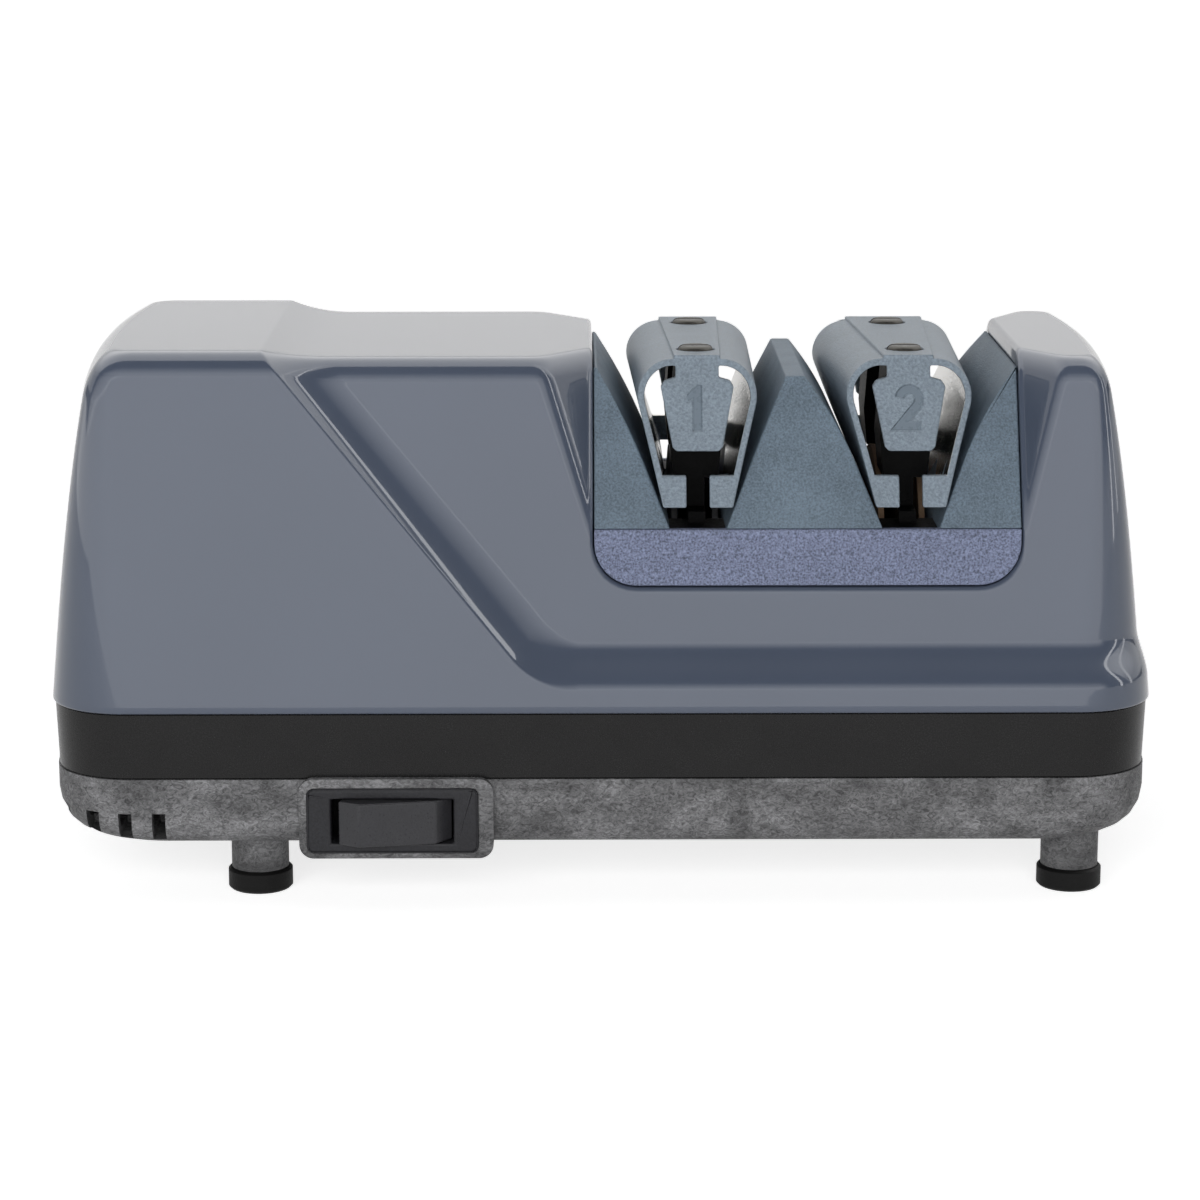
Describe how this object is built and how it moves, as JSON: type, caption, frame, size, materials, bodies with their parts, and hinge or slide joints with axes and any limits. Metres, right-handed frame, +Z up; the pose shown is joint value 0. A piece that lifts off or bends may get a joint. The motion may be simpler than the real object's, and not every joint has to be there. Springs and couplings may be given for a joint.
{
  "type": "electric knife sharpener",
  "caption": "Free-standing electric knife sharpener with sprung blade guides, a rocker switch and a lift-off clean-out cover.",
  "frame": {"origin": "on the surface the feet stand on, at the middle of the outline", "axes": "+X from the motor end towards the sharpening stages, +Y to the rear, +Z up"},
  "size_m": [0.235, 0.1142, 0.1148],
  "materials": {
    "housing_gloss": "polished, slate grey",
    "band_black": "satin, black",
    "base_grey": "scuffed, dark grey",
    "rubber_black": "matt, black",
    "steel": "bright",
    "dark_steel": "dull",
    "switch_black": "satin, charcoal",
    "inner_black": "matt, black",
    "contact_brass": "plain",
    "lamination": "oiled sheet",
    "copper": "enamelled",
    "cast_alloy": "as cast",
    "bronze": "sintered",
    "abrasive_plate": "diamond grit",
    "strop_tan": "fine grit in a soft binder",
    "stage_teal": "fine grain, teal grey",
    "sill_violet": "coarse grain, violet grey",
    "guide_grey": "grained, grey",
    "magnet": "sintered",
    "dressing_grit": "bonded grit"
  },
  "bodies": {
    "root": {"arch_carrier_1": "inner_black", "arch_carrier_2": "inner_black", "base_pan": "base_grey", "base_screws": "steel", "bearing_pedestal": "inner_black", "block_screws": "steel", "bracket_screws": "steel", "cord_gland": "rubber_black", "end_bearing": "bronze", "foot_pads": "rubber_black", "guide_arch_1": "guide_grey", "guide_arch_2": "guide_grey", "guide_screws": "dark_steel", "lever_pin": "steel", "motor_bearing_left": "bronze", "motor_bearing_right": "bronze", "motor_bolts": "steel", "motor_bracket_left": "cast_alloy", "motor_bracket_right": "cast_alloy", "pedestal_screws": "steel", "sill_front": "sill_violet", "sill_rear": "sill_violet", "stage_block": "stage_teal", "stator_stack": "lamination", "stator_winding": "copper", "switch_bezel": "switch_black", "switch_body": "inner_black", "switch_terminals": "contact_brass", "trim_band": "band_black", "upper_housing": "housing_gloss"},
    "rotor": {"drive_shaft": "steel", "rotor_core": "lamination", "rotor_cage": "cast_alloy", "cooling_fan": "inner_black", "drive_pins": "steel", "disc_spring_1": "steel", "disc_spring_2": "steel"},
    "diamond_left": {"diamond_disc_left": "abrasive_plate"},
    "diamond_right": {"diamond_disc_right": "abrasive_plate"},
    "strop_left": {"strop_disc_left": "strop_tan"},
    "strop_right": {"strop_disc_right": "strop_tan"},
    "rocker_arm": {"rocker": "switch_black"},
    "cover": {"cleanout_cover": "base_grey", "swarf_magnet": "magnet"},
    "lever": {"dressing_lever": "switch_black", "dressing_pads": "dressing_grit"}
  },
  "joints": [
    {"name": "shaft_spin", "type": "hinge", "parent": "root", "child": "rotor", "pos_m": [0, 0, 0.062], "axis": [1, 0, 0], "continuous": true},
    {"name": "diamond_left_slide", "type": "slide", "parent": "rotor", "child": "diamond_left", "axis": [1, 0, 0], "range_m": [0, 0.0015], "stiffness_N_per_m": 1500, "deforming": ["disc_spring_1"]},
    {"name": "diamond_right_slide", "type": "slide", "parent": "rotor", "child": "diamond_right", "axis": [-1, 0, 0], "range_m": [0, 0.0015], "stiffness_N_per_m": 1500, "deforming": ["disc_spring_1"]},
    {"name": "strop_left_slide", "type": "slide", "parent": "rotor", "child": "strop_left", "axis": [1, 0, 0], "range_m": [0, 0.0015], "stiffness_N_per_m": 1500, "deforming": ["disc_spring_2"]},
    {"name": "strop_right_slide", "type": "slide", "parent": "rotor", "child": "strop_right", "axis": [-1, 0, 0], "range_m": [0, 0.0015], "stiffness_N_per_m": 1500, "deforming": ["disc_spring_2"]},
    {"name": "rocker_tilt", "type": "hinge", "parent": "root", "child": "rocker_arm", "pos_m": [-0.0434, -0.049, 0.0186], "axis": [0, 0, -1], "range_deg": [0, 19.6]},
    {"name": "cover_slide", "type": "slide", "parent": "root", "child": "cover", "axis": [0, 0, -1], "range_m": [0, 0.01]},
    {"name": "lever_swing", "type": "hinge", "parent": "root", "child": "lever", "pos_m": [0.0639, 0.03, 0.0452], "axis": [0, 0, 1], "range_deg": [-3, 3]}
  ]
}
